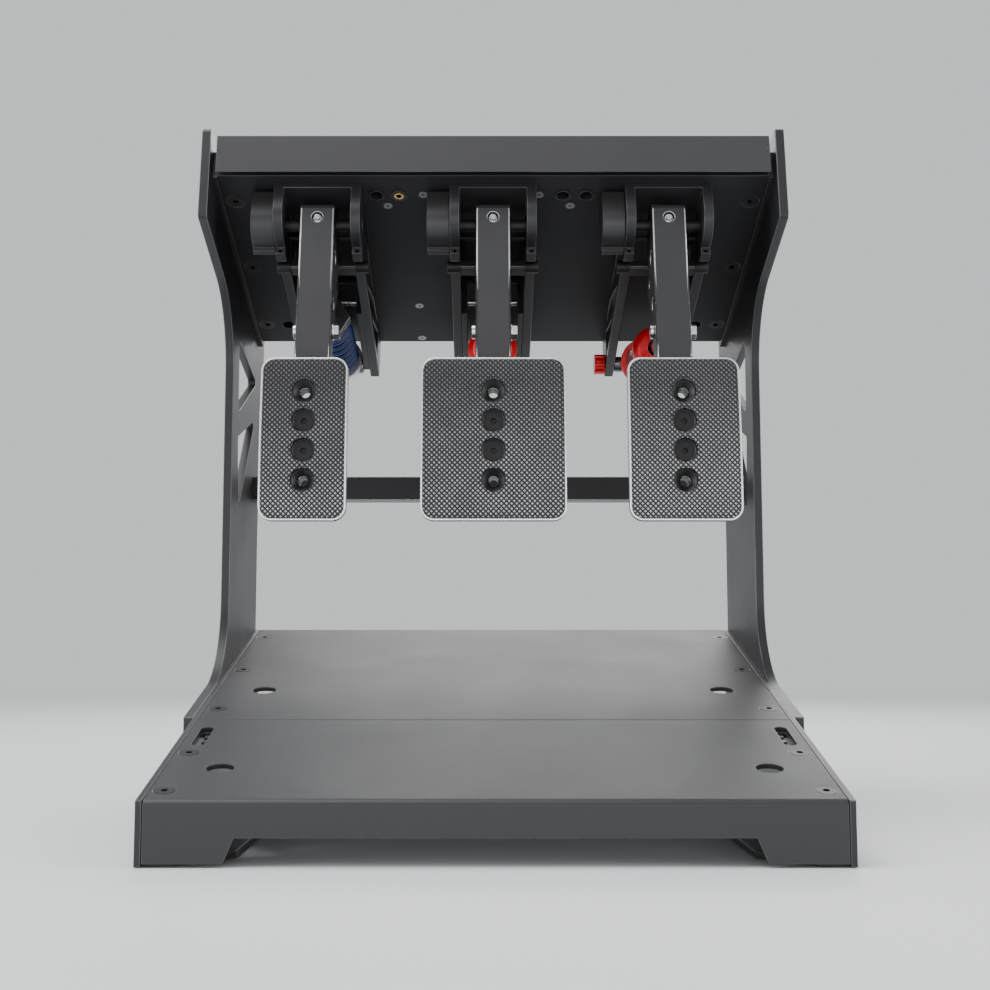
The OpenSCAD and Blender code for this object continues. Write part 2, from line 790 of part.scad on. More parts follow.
module control_board() {
    color("#1d5a38")
        on_deck()
            translate([-95, board_s + 20, deck_t]) {
                difference() {
                    translate([0, 0, 6])
                        cube([board_w, board_d, 1.6]);
                    for (x = [8, board_w - 8])
                        for (y = [6, board_d - 6])
                            translate([x, y, 5])
                                cylinder(d = 3.2, h = 4);
                }
                for (x = [8, board_w - 8])
                    for (y = [6, board_d - 6])
                        translate([x, y, 0])
                            difference() {
                                cylinder(d = 6, h = 6);
                                cylinder(d = 3, h = 7);
                            }
                translate([60, 14, 7.6])
                    cube([14, 14, 2]);
                translate([110, 20, 7.6])
                    cube([10, 10, 2]);
            }
}

module usb_socket() {
    color(steel)
        on_deck()
            translate([usb_x, deck_len, deck_t])
                difference() {
                    translate([-usb_w / 2, -16, 0])
                        cube([usb_w, 16.5, usb_h]);
                    translate([-4.5, -13, 1.5])
                        cube([9, 20, usb_h - 3]);
                }
}

// Cheek outline in (s, z) of the mounting plate frame
cheek_points = concat(
    [[box_s, 0]],
    arc_points([box_s + nose_r, nose_r - rail_depth], nose_r, 180, 270, 16),
    [[lug_s, -rail_depth], [lug_s, -rail_depth - lug_drop], [lug_s + 9, -rail_depth - lug_drop],
        [cheek_end_s, -rail_depth + 4], [cheek_end_s, 0]]);

module pivot_box(m) {
    color(charcoal)
        on_deck()
            translate([pedal_x[m], 0, 0])
                difference() {
                    union() {
                        for (e = [-1, 1])
                            translate([e * (box_w - cheek_t) / 2, 0, 0])
                                slab(cheek_t)
                                    polygon(cheek_points);
                        translate([-box_w / 2 + 1, box_s, -box_top_t])
                            cube([box_w - 2, cheek_end_s - box_s, box_top_t]);
                        for (e = [-1, 1])
                            translate([e * (box_in / 2 - 6), stud_s, 0])
                                cylinder(d = stud_d, h = deck_t);
                        translate([0, tie_s, -tie_t])
                            cross(tie_d, box_in + 1);
                    }
                    translate([0, pivot_s, -pivot_t])
                        cross(shaft_d + 2 * run_gap, box_w + 2);
                    for (e = [-1, 1]) {
                        translate([e * (box_w - cheek_t) / 2, lug_s - 1, -rail_depth - lug_drop / 2])
                            rotate([-90, 0, 0])
                                cylinder(d = 2.6, h = 6, $fn = 24);
                    }
                }
}

// Sensor cover: rounded shell on the left cheek, open towards the cheek
sensor_s = 12.5;
sensor_r = 15;
sensor_top = 2.6;
sensor_end = 37;

module cover_outline(inset) {
    polygon(concat(
        [[sensor_s + inset, -sensor_top - inset]],
        arc_points([sensor_s + sensor_r, sensor_r - rail_depth], sensor_r - inset, 180, 270, 16),
        [[sensor_end - inset, -rail_depth + inset], [sensor_end - inset, -sensor_top - inset]]));
}

module sensor_cover(m) {
    wall = 1.8;
    color(charcoal)
        on_deck()
            translate([pedal_x[m] - box_w / 2 - sensor_w / 2, 0, 0])
                difference() {
                    union() {
                        slab(sensor_w)
                            cover_outline(0);
                        translate([-sensor_w / 2, lug_s, -rail_depth - 2.4])
                            cube([sensor_w, 5, 3.4]);
                    }
                    translate([wall, 0, 0])
                        slab(sensor_w)
                            cover_outline(wall);
                }
}

module sensor_boards() {
    color("#1d5a38")
        on_deck()
            for (m = [clutch:throttle])
                translate([pedal_x[m] - box_w / 2 - sensor_w + 1.8, 0, 0]) {
                    translate([0, sensor_s + 5, -pivot_t - 6])
                        cube([1.6, sensor_end - sensor_s - 10, 12]);
                    translate([1.6, pivot_s - 2.5, -pivot_t - 2.5])
                        cube([1.2, 5, 5]);
                }
}

// Skeleton of a side rail in (s, z): openings between the chords and diagonals
rail_rim = 5;
rail_mid = (rail_s0 + rail_s1) / 2;
rail_cuts = [
    [[rail_s0 + 11, -rail_rim], [rail_mid - 7, -rail_rim], [rail_s0 + 11, -23]],
    [[rail_mid - 46, -rail_depth + rail_rim], [rail_mid + 7, -rail_rim - 1],
        [rail_mid + 35, -rail_rim - 1], [rail_mid - 17, -rail_depth + rail_rim]],
    [[rail_mid - 3, -rail_depth + rail_rim], [rail_s1 - 24, -rail_rim - 4], [rail_s1 - 22, -rail_depth + rail_rim]]
];

module side_rails(m) {
    color(charcoal)
        on_deck()
            translate([pedal_x[m], 0, 0])
                for (e = [-1, 1])
                    difference() {
                        translate([e * (box_w - cheek_t) / 2, 0, 0])
                            slab(cheek_t)
                                difference() {
                                    polygon([[rail_s0, 0], [deck_len, 0], [deck_len, -5],
                                        [rail_s1 + 1, -rail_depth + 2], [rail_s1, -rail_depth],
                                        [rail_s0 + 2, -rail_depth], [rail_s0, -rail_depth + 2]]);
                                    for (c = rail_cuts)
                                        polygon(c);
                                }
                        translate([e * (box_w - cheek_t) / 2, rear_pin_s, -rear_pin_t])
                            cross(rear_pin_d, cheek_t + 2);
                        translate([e * (box_w - cheek_t) / 2, bolt_s, -bolt_t])
                            cross(bolt_head_d, cheek_t + 2);
                    }
}

module module_bolts() {
    head_x = box_w / 2 + bolt_head_h;
    boss_w = cheek_t + bolt_head_h;
    color(coal)
        on_deck()
            for (m = [clutch:throttle])
                for (e = [-1, 1])
                    translate([pedal_x[m] + e * head_x, bolt_s, -bolt_t])
                        rotate([0, e * 90, 0])
                            difference() {
                                union() {
                                    translate([0, 0, -boss_w])
                                        cylinder(d = bolt_head_d, h = boss_w);
                                    translate([0, 0, -boss_w - bolt_bite])
                                        cylinder(d = bolt_d, h = bolt_bite + 1);
                                }
                                translate([0, 0, -2])
                                    cylinder(d = 4, h = 3, $fn = 6);
                            }
}

bar_s0 = 55;
bar_s1 = 65;

module stop_bars() {
    color(charcoal)
        on_deck()
            for (m = [clutch:throttle])
                translate([pedal_x[m], 0, 0])
                    difference() {
                        slab(box_in)
                            polygon([[bar_s0, -rail_depth + 2], [bar_s0 + 1, -rail_depth + 1],
                                [bar_s1 - 1, -rail_depth + 1], [bar_s1, -rail_depth + 2],
                                [bar_s1, -rail_depth + 7], [bar_s0, -rail_depth + 7]]);
                        for (e = [-1, 1])
                            translate([e * box_in / 2, bolt_s, -bolt_t])
                                cross(bolt_d, 2 * bolt_bite + 2);
                    }
}

carrier_t = 4.2;
carrier_s0 = 110;
carrier_s1 = rail_s1 - 11;
carrier_in = box_in - 2 * carrier_t;
rod_s = 120;
rod_t = 18;
cross_rod_d = 4.2;

module carriers() {
    color(charcoal)
        on_deck()
            for (m = [clutch, brake])
                translate([pedal_x[m], 0, 0])
                    difference() {
                        union() {
                            for (e = [-1, 1])
                                translate([e * (box_in - carrier_t) / 2, 0, 0])
                                    slab(carrier_t)
                                        polygon([[carrier_s0, -8], [rear_pin_s + 8, -8],
                                            [rear_pin_s + 8, -rear_pin_t], [carrier_s1, -rail_depth],
                                            [carrier_s0, -rail_depth]]);
                            translate([-box_in / 2, carrier_s0, -8])
                                cube([box_in, carrier_s1 - carrier_s0, 3]);
                        }
                        translate([0, rear_pin_s, -rear_pin_t])
                            cross(rear_pin_d, box_w + 2);
                        translate([0, rod_s, -rod_t])
                            cross(cross_rod_d, box_w + 2);
                    }
}

module cross_rods() {
    color(steel)
        on_deck()
            for (m = [clutch, brake])
                translate([pedal_x[m], rod_s, -rod_t])
                    cross(cross_rod_d, box_in);
}

knob_d = 15;
knob_t = 8;
knob_pin = 6;

module rear_pins() {
    color(coal)
        place()
            for (m = [clutch:throttle])
                translate([pedal_x[m] - (m == throttle ? knob_pin / 2 : 0), rear_pin_y, rear_pin_z])
                    cross(rear_pin_d, box_w + (m == throttle ? knob_pin : 0));
}

module pivot_shaft(m) {
    color(steel)
        on_pivot(m)
            translate([-4, 0, 0])
                difference() {
                    cross(shaft_d, box_w + 4);
                    translate([-box_w / 2 - 2, 0, 0])
                        cross(4, 6);
                }
}

// Arm outline in (y, z) from the pivot axis
arm_front = [
    [-arm_front_off, arm_top_z - 3],
    [-arm_front_off + (arm_bend_z - 12) * tan(arm_lean), arm_bend_z],
    [-31, arm_low_z]
];
face_up = [sin(face_lean), cos(face_lean)];
face_in = [cos(face_lean), -sin(face_lean)];
function on_face_plane(u, z) = face_centre + u * face_in + z * face_up;
arm_touch = on_face_plane(face_t, 41);

module arm_outline() {
    polygon(concat(
        arc_points([0, 0], hub_r, 100, 10, 10),
        [[hub_r - 0.5, -10]],
        arc_points(upper_link, lug_r, 30, -60, 8),
        [[-2, -58]],
        arc_points(lower_link, lug_r - 1, 10, -60, 6),
        [on_face_plane(face_t + arm_foot_t, 30), on_face_plane(face_t + arm_foot_t, arm_foot + 3),
            on_face_plane(face_t + arm_foot_t - 3, arm_foot), on_face_plane(face_t, arm_foot),
            arm_touch, arm_front[2], arm_front[1], arm_front[0],
            [-arm_front_off + 2, arm_top_z]]));
}

module arm_channel() {
    polygon([[arm_front[0][0] + arm_wall + 3, -14], [arm_front[1][0] + arm_wall_low, arm_bend_z],
        [arm_front[2][0] + arm_wall_low, arm_low_z], [arm_front[2][0] + arm_wall + 9, arm_low_z - 4],
        [20, arm_low_z - 4], [20, -14]]);
}

clamp_head_z = 9.4;
face_hole_z = [for (k = [0:3]) (1.5 - k) * face_pitch + 1.6];

// Thin bar that cuts a chamfer along an arm edge between two front points
module arm_chamfer(a, b) {
    d = b - a;
    for (e = [-1, 1])
        translate([e * arm_w / 2, (a[0] + b[0]) / 2, (a[1] + b[1]) / 2])
            rotate([atan2(-d[0], d[1]) + 180, 0, 0])
                rotate([0, 0, 45])
                    cube([1.3, 1.3, norm(d) + 1], center = true);
}

module arm(m) {
    color(charcoal)
        on_pivot(m)
            difference() {
                slab(arm_w)
                    arm_outline();
                slab(arm_slot_w)
                    arm_channel();
                cross(shaft_d, arm_w + 2);
                for (p = [upper_link, lower_link])
                    translate([0, p[0], p[1]])
                        cross(link_d, arm_w + 2);
                translate([0, -6, -24])
                    cross(11, arm_w + 2);
                translate([0, -12, -56])
                    cross(9, arm_w + 2);
                rotate([90 - arm_lean, 0, 0])
                    cylinder(d = 4, h = 30);
                rotate([90 - arm_lean, 0, 0])
                    translate([0, 0, clamp_head_z])
                        cylinder(d = 7.2, h = 10);
                for (z = face_hole_z)
                    translate([face_x[m], face_centre[0], face_centre[1]])
                        rotate([-face_lean, 0, 0])
                            translate([0, 0, z])
                                rotate([-90, 0, 0])
                                    cylinder(d = face_screw_d, h = 40);
                arm_chamfer(arm_front[0], arm_front[1]);
                arm_chamfer(arm_front[1], arm_front[2]);
            }
}

// Countersinks of the face: depth of their straight part, slope, and the screws' heads
face_sink = 0.6;
sink_rate = 0.42;
face_hole_d = face_screw_d + 0.6;
face_head_d = 12.6;

crown_r = (face_h / 2) * (face_h / 2) / (2 * face_crown);

module face(m) {
    w = face_w[m];
    color(coal)
        on_face(m)
            difference() {
                intersection() {
                    translate([0, face_t, 0])
                        rotate([90, 0, 0])
                            linear_extrude(face_t + face_crown + 1)
                                union() {
                                    square([w - 2 * face_r, face_h], center = true);
                                    square([w, face_h - 2 * face_r], center = true);
                                    for (i = [-1, 1])
                                        for (j = [-1, 1])
                                            translate([i * (w / 2 - face_r), j * (face_h / 2 - face_r)])
                                                circle(r = face_r);
                                }
                    translate([0, crown_r - face_crown, 0])
                        rotate([0, 90, 0])
                            cylinder(r = crown_r, h = w + 2, center = true, $fn = 360);
                }
                for (z = face_hole_z)
                    translate([0, 0, z])
                        rotate([-90, 0, 0]) {
                            translate([0, 0, -face_crown - 1])
                                cylinder(d = face_csk_d, h = face_crown + 1 + face_sink + hair);
                            translate([0, 0, face_sink])
                                cylinder(d1 = face_csk_d, d2 = face_hole_d, h = (face_csk_d - face_hole_d) * sink_rate);
                            cylinder(d = face_hole_d, h = face_t + 1);
                        }
            }
}

module face_screws(m) {
    color(coal)
        on_face(m)
            for (k = [1, 2])
                translate([0, face_sink + (face_csk_d - face_head_d - 0.1) * sink_rate, face_hole_z[k]])
                    rotate([90, 0, 0])
                        csk_screw(face_screw_d, face_head_d, (face_head_d - face_screw_d) * sink_rate, 14, 4);
}

// Bolt with a head and a nut through the arm's lower hole, flush pin of the clutch's rod, and the shaft's clamp screw
module arm_bolts(m) {
    color(steel)
        on_pivot(m)
            translate([0, lower_link[0], lower_link[1]])
                difference() {
                    union() {
                        translate([1, 0, 0])
                            cross(link_d, arm_w + 6);
                        translate([-arm_w / 2 - 1.2, 0, 0])
                            cross(9.4, 2.4);
                        translate([arm_w / 2 + 0.5, 0, 0])
                            cross(11.6, 1);
                        translate([arm_w / 2 + 2.6, 0, 0])
                            rotate([0, 90, 0])
                                cylinder(d = 10.6, h = 3.4, center = true, $fn = 6);
                    }
                    translate([-arm_w / 2 - 1.2, 0, 0])
                        rotate([0, 90, 0])
                            cylinder(d = 4, h = 4, center = true, $fn = 6);
                }
    if (m == clutch)
        color(steel)
            on_pivot(m)
                translate([0, upper_link[0], upper_link[1]])
                    cross(link_d, arm_w + 0.6);
    color(steel)
        on_pivot(m)
            rotate([90 - arm_lean, 0, 0])
                difference() {
                    union() {
                        translate([0, 0, shaft_d / 2 + 0.1])
                            cylinder(d = 4, h = 9.5);
                        translate([0, 0, clamp_head_z])
                            cylinder(d = 5.4, h = 2);
                    }
                    translate([0, 0, clamp_head_z + 0.7])
                        cylinder(d = 2.9, h = 3, $fn = 6);
                }
}

// Rod with a front eye that the link bolt passes with clearance; z runs from rear pin to bolt
module unit_rod(m, rear) {
    len = unit_len(m);
    difference() {
        union() {
            translate([0, 0, rear])
                cylinder(d = rod_d, h = len - rear - 5);
            translate([0, 0, len])
                cross(eye_d, eye_w);
        }
        translate([0, 0, len])
            cross(link_d + 2 * link_gap, eye_w + 2);
    }
}

// Rear eye around the rear pin
module rear_eye(w, d) {
    difference() {
        union() {
            cross(d, w);
            cylinder(d = d - 1, h = 13);
        }
        cross(rear_pin_d + 2 * run_gap, w + 2);
    }
}

eye_span = box_in - 1;

module clutch_rod() {
    color(steel)
        on_unit(clutch)
            unit_rod(clutch, tube_bottom + stroke(clutch) + 1);
}

module clutch_nut() {
    color("#8a8c90")
        on_unit(clutch)
            translate([0, 0, seat_a + slip])
                difference() {
                    cylinder(r = coil_d / 2 + 0.4, h = nut_t, $fn = 6);
                    translate([0, 0, -1])
                        cylinder(d = rod_d + 2 * run_gap, h = nut_t + 2);
                    for (k = [0:5])
                        rotate([0, 0, 60 * k + 30])
                            translate([coil_d / 2 + 0.4, 0, nut_t / 2])
                                rotate([0, 90, 0])
                                    cylinder(d = 3, h = 8, center = true);
                }
}

// Coil spring: one unbroken tube swept along a helix, ends closed flat
ring_per_turn = 8;
ring_sides = 6;
coil_rings = ring_per_turn * coil_turns;
coil_rise = coil_len - wire_d - 2 * slip;
function coil_point(i) = [coil_r * cos(360 * i / ring_per_turn), coil_r * sin(360 * i / ring_per_turn),
    coil_rear + slip + wire_d / 2 + coil_rise * i / coil_rings];
function coil_ring(i) = [for (k = [0:ring_sides - 1])
    let (a = 360 * i / ring_per_turn, b = 360 * k / ring_sides, c = coil_point(i), r = wire_d / 2)
    c + r * [cos(b) * cos(a), cos(b) * sin(a), sin(b)]];

module coil() {
    points = [for (i = [0:coil_rings]) each coil_ring(i)];
    n = ring_sides;
    walls = [for (i = [0:coil_rings - 1]) for (k = [0:n - 1]) for (h = [0, 1])
        h == 0 ? [i * n + k, i * n + (k + 1) % n, (i + 1) * n + k]
            : [i * n + (k + 1) % n, (i + 1) * n + (k + 1) % n, (i + 1) * n + k]];
    caps = [for (k = [1:n - 2]) for (h = [0, 1])
        h == 0 ? [0, k + 1, k] : [coil_rings * n, coil_rings * n + k, coil_rings * n + k + 1]];
    polyhedron(points = points, faces = concat(walls, caps));
}

coil_gap = min([for (i = [0:ring_per_turn - 1]) norm(coil_point(i + ring_per_turn) - coil_point(i)) - wire_d]);
echo(least_gap_of_the_coil_to_itself = coil_gap);

module clutch_spring() {
    color(navy)
        on_unit(clutch)
            coil();
}

module clutch_tube() {
    color("#8a8c90")
        on_unit(clutch)
            difference() {
                union() {
                    cross(2 * boss_r, eye_span - 2 * carrier_t);
                    cylinder(r = cap_r - 3, h = coil_rear);
                    translate([0, 0, coil_rear - cap_t])
                        cylinder(r = cap_r, h = cap_t);
                    translate([0, 0, 11])
                        cylinder(r = tube_r, h = tube_end - 11);
                }
                cross(rear_pin_d + 2 * run_gap, box_in);
                translate([0, 0, tube_bottom])
                    cylinder(d = rod_d + 2 * run_gap, h = tube_end);
            }
}

brake_body_end = 40;
brake_bottom = 17;
brake_pad_end = 73;
brake_collar_t = 14;

module brake_rod() {
    color(steel)
        on_unit(brake) {
            unit_rod(brake, brake_bottom + stroke(brake) + 1);
            translate([0, 0, brake_pad_end])
                cylinder(r = 11, h = 27);
        }
}

module brake_collar() {
    color(red)
        on_unit(brake)
            translate([0, 0, brake_pad_end])
                difference() {
                    rotate_extrude()
                        polygon([[11 + run_gap, 0], [brake_collar_d / 2 - 1, 0], [brake_collar_d / 2, 1],
                            [brake_collar_d / 2, brake_collar_t - 5], [brake_collar_d / 2 - 4, brake_collar_t],
                            [11 + run_gap, brake_collar_t]]);
                    for (k = [0:5])
                        rotate([0, 0, 60 * k + 30])
                            translate([0, 0, 5])
                                rotate([0, 90, 0])
                                    translate([0, 0, brake_collar_d / 2 - 3.5])
                                        cylinder(d = 3.6, h = 6);
                }
}

module brake_elastomer() {
    pads = 3;
    pitch = (brake_pad_end - brake_body_end - 2 * slip) / pads;
    color(coal)
        on_unit(brake)
            translate([0, 0, brake_body_end + slip])
                difference() {
                    union() {
                        for (k = [0:pads - 1])
                            translate([0, 0, k * pitch])
                                cylinder(r = 12, h = pitch - 1);
                        cylinder(r = 10, h = pads * pitch);
                    }
                    translate([0, 0, -1])
                        cylinder(d = rod_d + 0.8, h = pads * pitch + 2);
                }
}

module brake_body() {
    color(coal)
        on_unit(brake) {
            rear_eye(eye_span - 2 * carrier_t, 2 * boss_r);
            difference() {
                translate([0, 0, 11])
                    cylinder(r = 14.5, h = brake_body_end - 11);
                translate([0, 0, brake_bottom])
                    cylinder(d = rod_d + 2 * run_gap, h = 30);
            }
        }
}

throttle_body_end = 84;
throttle_body_r = 13.2;
throttle_collar_t = 16;
throttle_bore_r = 10;
throttle_bottom = 20;
throttle_piston = throttle_bottom + stroke(throttle) + 10;

module throttle_rod() {
    color(steel)
        on_unit(throttle) {
            unit_rod(throttle, throttle_piston);
            translate([0, 0, throttle_piston])
                cylinder(r = throttle_bore_r - run_gap, h = 5);
        }
}

module throttle_collar() {
    r = throttle_collar_d / 2;
    color(red)
        on_unit(throttle)
            translate([0, 0, throttle_body_end - 8])
                difference() {
                    rotate_extrude()
                        polygon(concat([[throttle_body_r + run_gap, 0], [r - 0.6, 0], [r, 0.6]],
                            arc_points([r - 10, 5], 10, 0, 60, 6),
                            [[rod_d / 2 + 1.4, throttle_collar_t], [rod_d / 2 + 1.4, 8.6],
                            [throttle_body_r + run_gap, 8.3]]));
                    for (k = [0:5])
                        rotate([0, 0, 60 * k])
                            translate([0, 0, 4])
                                rotate([0, 90, 0])
                                    translate([0, 0, r - 2])
                                        cylinder(d = 3.4, h = 4);
                }
}

// Return spring inside the throttle's cylinder, as a plain sleeve
module throttle_spring() {
    color(steel)
        on_unit(throttle)
            translate([0, 0, throttle_bottom + slip])
                difference() {
                    cylinder(r = 9.4, h = throttle_piston - throttle_bottom - 2 * slip);
                    translate([0, 0, -1])
                        cylinder(r = 7, h = 40);
                }
}

module throttle_body() {
    color("#8a8c90")
        on_unit(throttle) {
            rear_eye(eye_span, 12);
            difference() {
                translate([0, 0, 11])
                    cylinder(r = throttle_body_r, h = throttle_body_end - 11);
                translate([0, 0, throttle_bottom])
                    cylinder(r = throttle_bore_r, h = throttle_body_end);
            }
        }
}

module throttle_ring() {
    color(red)
        on_unit(throttle)
            translate([0, 0, 11])
                difference() {
                    cylinder(d = throttle_ring_d, h = 4.5);
                    translate([0, 0, -1])
                        cylinder(r = throttle_body_r, h = 6.5);
                }
}

module throttle_knob() {
    color(red)
        place()
            translate([pedal_x[throttle] - box_w / 2 - slip - knob_t / 2, rear_pin_y, rear_pin_z])
                difference() {
                    cross(knob_d, knob_t);
                    translate([slip + knob_t - knob_pin, 0, 0])
                        cross(rear_pin_d + 2 * run_gap, knob_t);
                    for (k = [0:11])
                        rotate([30 * k, 0, 0])
                            translate([0, 0, knob_d / 2])
                                cross(1.6, knob_t + 1);
                }
}

side_plate(-1);  // side_plate_left
side_plate(1);  // side_plate_right
base_rail(-1);  // base_rail_left
base_rail(1);  // base_rail_right
heel_plate_front();
heel_plate_rear();
mounting_plate();
mount_brackets();
top_cover();
rear_crossbar();
frame_screws();
cover_screws();
haptic_sockets();
audio_jack();
control_board();
usb_socket();
module_bolts();
pivot_box(clutch);  // pivot_box_clutch
pivot_box(brake);  // pivot_box_brake
pivot_box(throttle);  // pivot_box_throttle
sensor_cover(clutch);  // sensor_cover_clutch
sensor_cover(brake);  // sensor_cover_brake
sensor_cover(throttle);  // sensor_cover_throttle
sensor_boards();
side_rails(clutch);  // side_rails_clutch
side_rails(brake);  // side_rails_brake
side_rails(throttle);  // side_rails_throttle
stop_bars();
carriers();
cross_rods();
rear_pins();
pivot_shaft(clutch);  // pivot_shaft_clutch
pivot_shaft(brake);  // pivot_shaft_brake
pivot_shaft(throttle);  // pivot_shaft_throttle
arm(clutch);  // arm_clutch
arm(brake);  // arm_brake
arm(throttle);  // arm_throttle
face(clutch);  // face_clutch
face(brake);  // face_brake
face(throttle);  // face_throttle
face_screws(clutch);  // face_screws_clutch
face_screws(brake);  // face_screws_brake
face_screws(throttle);  // face_screws_throttle
arm_bolts(clutch);  // arm_bolts_clutch
arm_bolts(brake);  // arm_bolts_brake
arm_bolts(throttle);  // arm_bolts_throttle
clutch_rod();
clutch_nut();
clutch_spring();
clutch_tube();
brake_rod();
brake_collar();
brake_elastomer();
brake_body();
throttle_rod();
throttle_collar();
throttle_spring();
throttle_body();
throttle_ring();
throttle_knob();
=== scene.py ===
import json
import math

import bmesh
import bpy
from mathutils import Matrix, Vector
from mathutils.bvhtree import BVHTree


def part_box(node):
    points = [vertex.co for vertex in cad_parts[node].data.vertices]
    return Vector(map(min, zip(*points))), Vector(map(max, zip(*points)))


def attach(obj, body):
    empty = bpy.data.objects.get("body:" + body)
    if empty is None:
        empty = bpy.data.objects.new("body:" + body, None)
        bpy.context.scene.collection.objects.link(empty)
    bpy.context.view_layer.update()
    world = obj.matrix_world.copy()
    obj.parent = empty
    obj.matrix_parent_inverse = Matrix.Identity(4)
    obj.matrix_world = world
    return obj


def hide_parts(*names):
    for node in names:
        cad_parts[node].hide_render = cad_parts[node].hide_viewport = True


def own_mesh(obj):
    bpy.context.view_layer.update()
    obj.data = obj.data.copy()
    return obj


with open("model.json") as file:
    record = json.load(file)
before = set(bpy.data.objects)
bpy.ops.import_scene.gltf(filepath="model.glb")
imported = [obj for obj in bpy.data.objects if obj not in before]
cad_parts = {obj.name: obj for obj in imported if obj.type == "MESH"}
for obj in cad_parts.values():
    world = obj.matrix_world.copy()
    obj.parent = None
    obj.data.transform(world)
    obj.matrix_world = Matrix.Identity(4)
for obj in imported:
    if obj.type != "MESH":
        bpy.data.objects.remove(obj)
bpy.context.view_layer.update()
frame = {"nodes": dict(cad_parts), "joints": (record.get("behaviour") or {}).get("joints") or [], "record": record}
nodes = frame["nodes"]
record = frame["record"]
body_of = {n: b for b, ns in record["behaviour"]["bodies"].items() for n in ns}
joint = {j["name"]: j for j in frame["joints"]}
pedals = ("clutch", "brake", "throttle")


# Node shorthands
def new_material(name):
    """A material with its node tree and its principled shader."""
    m = bpy.data.materials.new(name)
    m.use_nodes = True
    return m, m.node_tree, m.node_tree.nodes["Principled BSDF"]


def link(t, a, b):
    t.links.new(a, b)


def add_node(t, kind, inputs=None, **settings):
    """A new node; each of its inputs is given a value or another node's output."""
    n = t.nodes.new(kind)
    for name, value in settings.items():
        setattr(n, name, value)
    for name, value in (inputs or {}).items():
        if isinstance(value, bpy.types.NodeSocket):
            link(t, value, n.inputs[name])
        else:
            n.inputs[name].default_value = value
    return n


def noise(t, place, scale, detail, roughness=0.5):
    inputs = {"Vector": place, "Scale": scale, "Detail": detail, "Roughness": roughness}
    return add_node(t, "ShaderNodeTexNoise", inputs).outputs["Fac"]


def spread(t, value, low, high, out_low=0.0, out_high=1.0):
    """The value, moved from the range low to high into the range out_low to out_high."""
    inputs = {"Value": value, "From Min": low, "From Max": high, "To Min": out_low, "To Max": out_high}
    return add_node(t, "ShaderNodeMapRange", inputs).outputs["Result"]


def mix_colors(t, factor, a, b):
    inputs = {"Factor": factor, "A": a, "B": b}
    return add_node(t, "ShaderNodeMix", inputs, data_type="RGBA").outputs["Result"]


def bump(t, height, strength, depth):
    inputs = {"Height": height, "Strength": strength, "Distance": depth}
    return add_node(t, "ShaderNodeBump", inputs).outputs["Normal"]


def rgba(color, gain, lift=0.0):
    return tuple(min(1.0, c * gain + lift) for c in color) + (1.0,)


# Materials
def surface(name, color, rough, metallic=0.0, vary=0.15, vary_scale=18.0, rough_vary=0.06,
            grain=0.0, grain_scale=1400.0, brushed=None, wear=0.0, coat=0.0, specular=0.5):
    """Procedural finish: colour and roughness wander a little, with a fine grain or brushed bump."""
    fleck_scale, fleck_from, fleck_to = 420.0, 0.66, 0.74
    brush_strength, bump_depth, coat_rough = 0.12, 0.0002, 0.25
    m, t, p = new_material(name)
    place = add_node(t, "ShaderNodeTexCoord").outputs["Object"]
    cloud = noise(t, place, vary_scale, detail=6.0, roughness=0.62)
    base = mix_colors(t, cloud, rgba(color, 1.0 - vary), rgba(color, 1.0 + vary))
    if wear > 0.0:
        specks = noise(t, place, fleck_scale, detail=3.0)
        fleck = spread(t, specks, fleck_from, fleck_to, out_high=wear)
        base = mix_colors(t, fleck, base, rgba(color, gain=2.4, lift=0.01))
    link(t, base, p.inputs["Base Color"])
    smooth, dull = max(0.02, rough - rough_vary), min(1.0, rough + rough_vary)
    link(t, spread(t, cloud, 0.0, 1.0, smooth, dull), p.inputs["Roughness"])
    p.inputs["Metallic"].default_value = metallic
    p.inputs["Specular IOR Level"].default_value = specular
    if coat > 0.0:
        p.inputs["Coat Weight"].default_value = coat
        p.inputs["Coat Roughness"].default_value = coat_rough
    height, amount = None, grain
    if grain > 0.0:
        height = noise(t, place, grain_scale, detail=2.0)
    if brushed is not None:
        stretched = add_node(t, "ShaderNodeMapping", {"Vector": place, "Scale": brushed})
        height = noise(t, stretched.outputs["Vector"], scale=1.0, detail=3.0)
        amount = brush_strength
    if height is not None:
        link(t, bump(t, height, amount, bump_depth), p.inputs["Normal"])
    return m


coat = surface("black_satin_coat", (0.014, 0.014, 0.016), 0.55, vary=0.14, grain=0.14,
               grain_scale=2400.0, specular=0.22)
texture_coat = surface("black_grained_coat", (0.014, 0.014, 0.016), 0.50, vary=0.18, grain=0.42,
                       grain_scale=1500.0, wear=0.06, specular=0.48)
band_coat = surface("black_band_coat", (0.034, 0.034, 0.036), 0.50, vary=0.10, grain=0.12,
                    grain_scale=2400.0, specular=0.30)
anodised = surface("black_anodised", (0.016, 0.016, 0.0175), 0.42, vary=0.14,
                   vary_scale=30.0, grain=0.10, grain_scale=3200.0, specular=0.34)
arm_coat = surface("black_arm_coat", (0.024, 0.024, 0.025), 0.40, vary=0.10,
                   vary_scale=40.0, grain=0.08, grain_scale=3200.0, specular=0.42)
# Pale metal on the bevels of the arms, the rear crossbar and the clutch nut: a painted edge highlight
highlit_chamfer = surface("painted_chamfer_highlight", (0.46, 0.46, 0.47), 0.30, metallic=1.0, vary=0.12, vary_scale=260.0,
                   rough_vary=0.08)
# Lighter greys on the bevels of the black parts: painted edge highlights
soft_edge = surface("painted_edge_highlight", (0.060, 0.060, 0.063), 0.38, metallic=0.4, vary=0.2, vary_scale=240.0)
plate_edge = surface("painted_plate_highlight", (0.13, 0.13, 0.135), 0.36, metallic=0.6, vary=0.2,
                     vary_scale=240.0)
